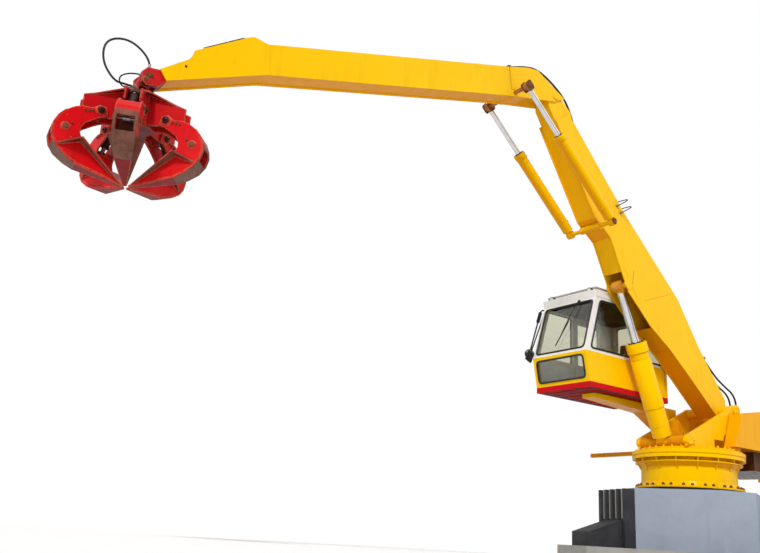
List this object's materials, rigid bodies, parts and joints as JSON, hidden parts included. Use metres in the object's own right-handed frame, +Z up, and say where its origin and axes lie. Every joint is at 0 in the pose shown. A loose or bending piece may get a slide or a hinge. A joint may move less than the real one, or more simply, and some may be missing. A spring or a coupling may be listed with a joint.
{
  "type": "stationary material handler",
  "caption": "Pedestal-mounted slewing material handler: two-piece hydraulic arm, hanging tined grapple, raised operator's cab and rear counterweight on a fixed concrete plinth.",
  "frame": {"origin": "on the slewing axis, in the plane of the footing's underside", "axes": "+X forward along the arm, +Y to the machine's left, +Z up"},
  "size_m": [15.5211, 4.589, 7.9467],
  "materials": {
    "concrete": "cast",
    "pale_concrete": "painted",
    "dark_concrete": "painted",
    "dark_steel": "satin",
    "yellow_paint": "gloss",
    "orange_paint": "gloss",
    "yellow_iron": "gloss",
    "dark_iron": "satin",
    "red_paint": "gloss",
    "white_paint": "gloss",
    "grey_paint": "satin",
    "window_glass": "clear",
    "seat_fabric": "woven",
    "black_plastic": "matte",
    "chrome_rod": "polished",
    "black_rubber": "matte"
  },
  "bodies": {
    "base": {"footing": "concrete", "plinth_column": "pale_concrete", "plinth_buttresses": "dark_concrete", "adapter_ring": "dark_steel", "slew_collar": "yellow_paint"},
    "upper": {"slew_bearing": "dark_steel", "turntable": "yellow_paint", "boom_brackets": "yellow_paint", "lift_foot_shaft": "yellow_paint", "boom_foot_pin": "dark_steel", "slew_drive": "orange_paint", "side_bar": "yellow_paint", "tail_frame": "yellow_paint", "power_unit": "dark_steel", "belly_ballast": "dark_iron", "counterweight": "yellow_iron", "cab_arm": "yellow_paint", "cab_base": "red_paint", "cab_lower_shell": "yellow_paint", "cab_upper_frame": "white_paint", "cab_roof": "white_paint", "cab_windows": "window_glass", "operator_seat": "seat_fabric", "control_consoles": "black_plastic", "cab_mirror": "black_plastic", "roof_rail": "grey_paint", "foot_hoses": "black_rubber"},
    "cab_door": {"cab_door": "white_paint", "cab_door_glass": "window_glass"},
    "tail_door": {"tail_door": "yellow_paint"},
    "boom": {"boom": "yellow_paint", "knuckle_hoses": "black_rubber", "ram_hoses": "black_rubber"},
    "stick": {"stick": "yellow_paint", "stick_tip_fork": "red_paint", "grapple_hoses": "black_rubber"},
    "lift_barrel": {"lift_barrel": "yellow_paint"},
    "lift_rod": {"lift_rod": "chrome_rod"},
    "stick_left_barrel": {"stick_left_barrel": "yellow_paint"},
    "stick_left_rod": {"stick_left_rod": "chrome_rod"},
    "stick_right_barrel": {"stick_right_barrel": "yellow_paint"},
    "stick_right_rod": {"stick_right_rod": "chrome_rod"},
    "hanger": {"hanger_link": "dark_steel"},
    "rotator": {"grapple_rotator": "dark_steel"},
    "grapple": {"grapple_hub": "red_paint"},
    "tine_1": {"grapple_tine_1": "red_paint"},
    "tine_1_barrel": {"tine_1_barrel": "dark_steel"},
    "tine_1_rod": {"tine_1_rod": "dark_steel"},
    "tine_2": {"grapple_tine_2": "red_paint"},
    "tine_2_barrel": {"tine_2_barrel": "dark_steel"},
    "tine_2_rod": {"tine_2_rod": "dark_steel"},
    "tine_3": {"grapple_tine_3": "red_paint"},
    "tine_3_barrel": {"tine_3_barrel": "dark_steel"},
    "tine_3_rod": {"tine_3_rod": "dark_steel"},
    "tine_4": {"grapple_tine_4": "red_paint"},
    "tine_4_barrel": {"tine_4_barrel": "dark_steel"},
    "tine_4_rod": {"tine_4_rod": "dark_steel"},
    "tine_5": {"grapple_tine_5": "red_paint"},
    "tine_5_barrel": {"tine_5_barrel": "dark_steel"},
    "tine_5_rod": {"tine_5_rod": "dark_steel"}
  },
  "joints": [
    {"name": "slew", "type": "hinge", "parent": "base", "child": "upper", "pos_m": [0, 0, 1.9], "axis": [0, 0, 1], "continuous": true},
    {"name": "boom_lift", "type": "hinge", "parent": "upper", "child": "boom", "pos_m": [-0.759, 0, 2.727], "axis": [0, -1, 0], "range_deg": [-18, 20], "deforming": ["foot_hoses"]},
    {"name": "stick_arm", "type": "hinge", "parent": "boom", "child": "stick", "pos_m": [3.51134, 0, 7.56224], "axis": [0, 1, 0], "range_deg": [-28, 38], "deforming": ["knuckle_hoses"]},
    {"name": "lift_barrel_pivot", "type": "hinge", "parent": "upper", "child": "lift_barrel", "pos_m": [0.651, 0, 2.046], "axis": [0, -1, 0], "range_deg": [-17.39, 19.32]},
    {"name": "lift_rod_slide", "type": "slide", "parent": "lift_barrel", "child": "lift_rod", "axis": [0.3899, 0, 0.9208], "range_m": [-0.48581, 0.53978]},
    {"name": "stick_left_barrel_pivot", "type": "hinge", "parent": "boom", "child": "stick_left_barrel", "pos_m": [2.44914, 0.459, 5.4758], "axis": [0, -1, 0], "range_deg": [-5.97, 4.42]},
    {"name": "stick_left_rod_slide", "type": "slide", "parent": "stick_left_barrel", "child": "stick_left_rod", "axis": [0.7468, 0, 0.665], "range_m": [-0.54393, 0.40082]},
    {"name": "stick_right_barrel_pivot", "type": "hinge", "parent": "boom", "child": "stick_right_barrel", "pos_m": [2.44914, -0.459, 5.4758], "axis": [0, -1, 0], "range_deg": [-5.97, 4.42]},
    {"name": "stick_right_rod_slide", "type": "slide", "parent": "stick_right_barrel", "child": "stick_right_rod", "axis": [0.7468, 0, 0.665], "range_m": [-0.54393, 0.40082]},
    {"name": "grapple_pitch", "type": "hinge", "parent": "stick", "child": "hanger", "pos_m": [10.43137, 0, 5.17123], "axis": [0, -1, 0], "range_deg": [-38, 60], "deforming": ["grapple_hoses"]},
    {"name": "grapple_cross_swing", "type": "hinge", "parent": "hanger", "child": "rotator", "pos_m": [10.43137, 0, 5.06123], "axis": [1, 0, 0], "range_deg": [-15, 15]},
    {"name": "grapple_rotation", "type": "hinge", "parent": "rotator", "child": "grapple", "pos_m": [10.43137, 0, 4.97123], "axis": [0, 0, 1], "continuous": true},
    {"name": "tine_1_open", "type": "hinge", "parent": "grapple", "child": "tine_1", "pos_m": [10.84978, -0.0366, 4.61623], "axis": [-0.0872, -0.9962, 0], "range_deg": [0, 55]},
    {"name": "tine_1_barrel_pivot", "type": "hinge", "parent": "grapple", "child": "tine_1_barrel", "pos_m": [10.84978, -0.0366, 4.81123], "axis": [-0.0872, -0.9962, 0], "range_deg": [-0.05, 43.85]},
    {"name": "tine_1_rod_slide", "type": "slide", "parent": "tine_1_barrel", "child": "tine_1_rod", "axis": [0.5695, -0.0498, -0.8205], "range_m": [-0.14279, 0.0001]},
    {"name": "tine_2_open", "type": "hinge", "parent": "grapple", "child": "tine_2", "pos_m": [10.59548, 0.38661, 4.61623], "axis": [0.9205, -0.3907, 0], "range_deg": [0, 55]},
    {"name": "tine_2_barrel_pivot", "type": "hinge", "parent": "grapple", "child": "tine_2_barrel", "pos_m": [10.59548, 0.38661, 4.81123], "axis": [0.9205, -0.3907, 0], "range_deg": [-0.05, 43.85]},
    {"name": "tine_2_rod_slide", "type": "slide", "parent": "tine_2_barrel", "child": "tine_2_rod", "axis": [0.2234, 0.5262, -0.8205], "range_m": [-0.14279, 0.0001]},
    {"name": "tine_3_open", "type": "hinge", "parent": "grapple", "child": "tine_3", "pos_m": [10.1144, 0.27554, 4.61623], "axis": [0.6561, 0.7547, 0], "range_deg": [0, 55]},
    {"name": "tine_3_barrel_pivot", "type": "hinge", "parent": "grapple", "child": "tine_3_barrel", "pos_m": [10.1144, 0.27554, 4.81123], "axis": [0.6561, 0.7547, 0], "range_deg": [-0.05, 43.85]},
    {"name": "tine_3_rod_slide", "type": "slide", "parent": "tine_3_barrel", "child": "tine_3_rod", "axis": [-0.4315, 0.3751, -0.8205], "range_m": [-0.14279, 0.0001]},
    {"name": "tine_4_open", "type": "hinge", "parent": "grapple", "child": "tine_4", "pos_m": [10.07136, -0.21632, 4.61623], "axis": [-0.515, 0.8572, 0], "range_deg": [0, 55]},
    {"name": "tine_4_barrel_pivot", "type": "hinge", "parent": "grapple", "child": "tine_4_barrel", "pos_m": [10.07136, -0.21632, 4.81123], "axis": [-0.515, 0.8572, 0], "range_deg": [-0.05, 43.85]},
    {"name": "tine_4_rod_slide", "type": "slide", "parent": "tine_4_barrel", "child": "tine_4_rod", "axis": [-0.49, -0.2944, -0.8205], "range_m": [-0.14279, 0.0001]},
    {"name": "tine_5_open", "type": "hinge", "parent": "grapple", "child": "tine_5", "pos_m": [10.52585, -0.40924, 4.61623], "axis": [-0.9744, -0.225, 0], "range_deg": [0, 55]},
    {"name": "tine_5_barrel_pivot", "type": "hinge", "parent": "grapple", "child": "tine_5_barrel", "pos_m": [10.52585, -0.40924, 4.81123], "axis": [-0.9744, -0.225, 0], "range_deg": [-0.05, 43.85]},
    {"name": "tine_5_rod_slide", "type": "slide", "parent": "tine_5_barrel", "child": "tine_5_rod", "axis": [0.1286, -0.557, -0.8205], "range_m": [-0.14279, 0.0001]},
    {"name": "cab_door_hinge", "type": "hinge", "parent": "upper", "child": "cab_door", "pos_m": [0.505, -1.488, 2.95], "axis": [0, 0, -1], "range_deg": [0, 90]},
    {"name": "tail_door_hinge", "type": "hinge", "parent": "upper", "child": "tail_door", "pos_m": [-1.878, 0.766, 2.12], "axis": [0, 0, -1], "range_deg": [0, 110]}
  ],
  "couplings": [
    {"joint": "lift_barrel_pivot", "follows": "boom_lift", "ratio": 0.96331},
    {"joint": "lift_rod_slide", "follows": "boom_lift", "m_per_rad": 1.5461},
    {"joint": "stick_left_barrel_pivot", "follows": "stick_arm", "ratio": -0.15592},
    {"joint": "stick_left_rod_slide", "follows": "stick_arm", "m_per_rad": -0.81998},
    {"joint": "stick_right_barrel_pivot", "follows": "stick_arm", "ratio": -0.15592},
    {"joint": "stick_right_rod_slide", "follows": "stick_arm", "m_per_rad": -0.81998},
    {"joint": "tine_1_barrel_pivot", "follows": "tine_1_open", "ratio": 0.79642},
    {"joint": "tine_1_rod_slide", "follows": "tine_1_open", "m_per_rad": -0.14864},
    {"joint": "tine_2_open", "follows": "tine_1_open", "ratio": 1},
    {"joint": "tine_2_barrel_pivot", "follows": "tine_1_open", "ratio": 0.79642},
    {"joint": "tine_2_rod_slide", "follows": "tine_1_open", "m_per_rad": -0.14864},
    {"joint": "tine_3_open", "follows": "tine_1_open", "ratio": 1},
    {"joint": "tine_3_barrel_pivot", "follows": "tine_1_open", "ratio": 0.79642},
    {"joint": "tine_3_rod_slide", "follows": "tine_1_open", "m_per_rad": -0.14864},
    {"joint": "tine_4_open", "follows": "tine_1_open", "ratio": 1},
    {"joint": "tine_4_barrel_pivot", "follows": "tine_1_open", "ratio": 0.79642},
    {"joint": "tine_4_rod_slide", "follows": "tine_1_open", "m_per_rad": -0.14864},
    {"joint": "tine_5_open", "follows": "tine_1_open", "ratio": 1},
    {"joint": "tine_5_barrel_pivot", "follows": "tine_1_open", "ratio": 0.79642},
    {"joint": "tine_5_rod_slide", "follows": "tine_1_open", "m_per_rad": -0.14864}
  ]
}
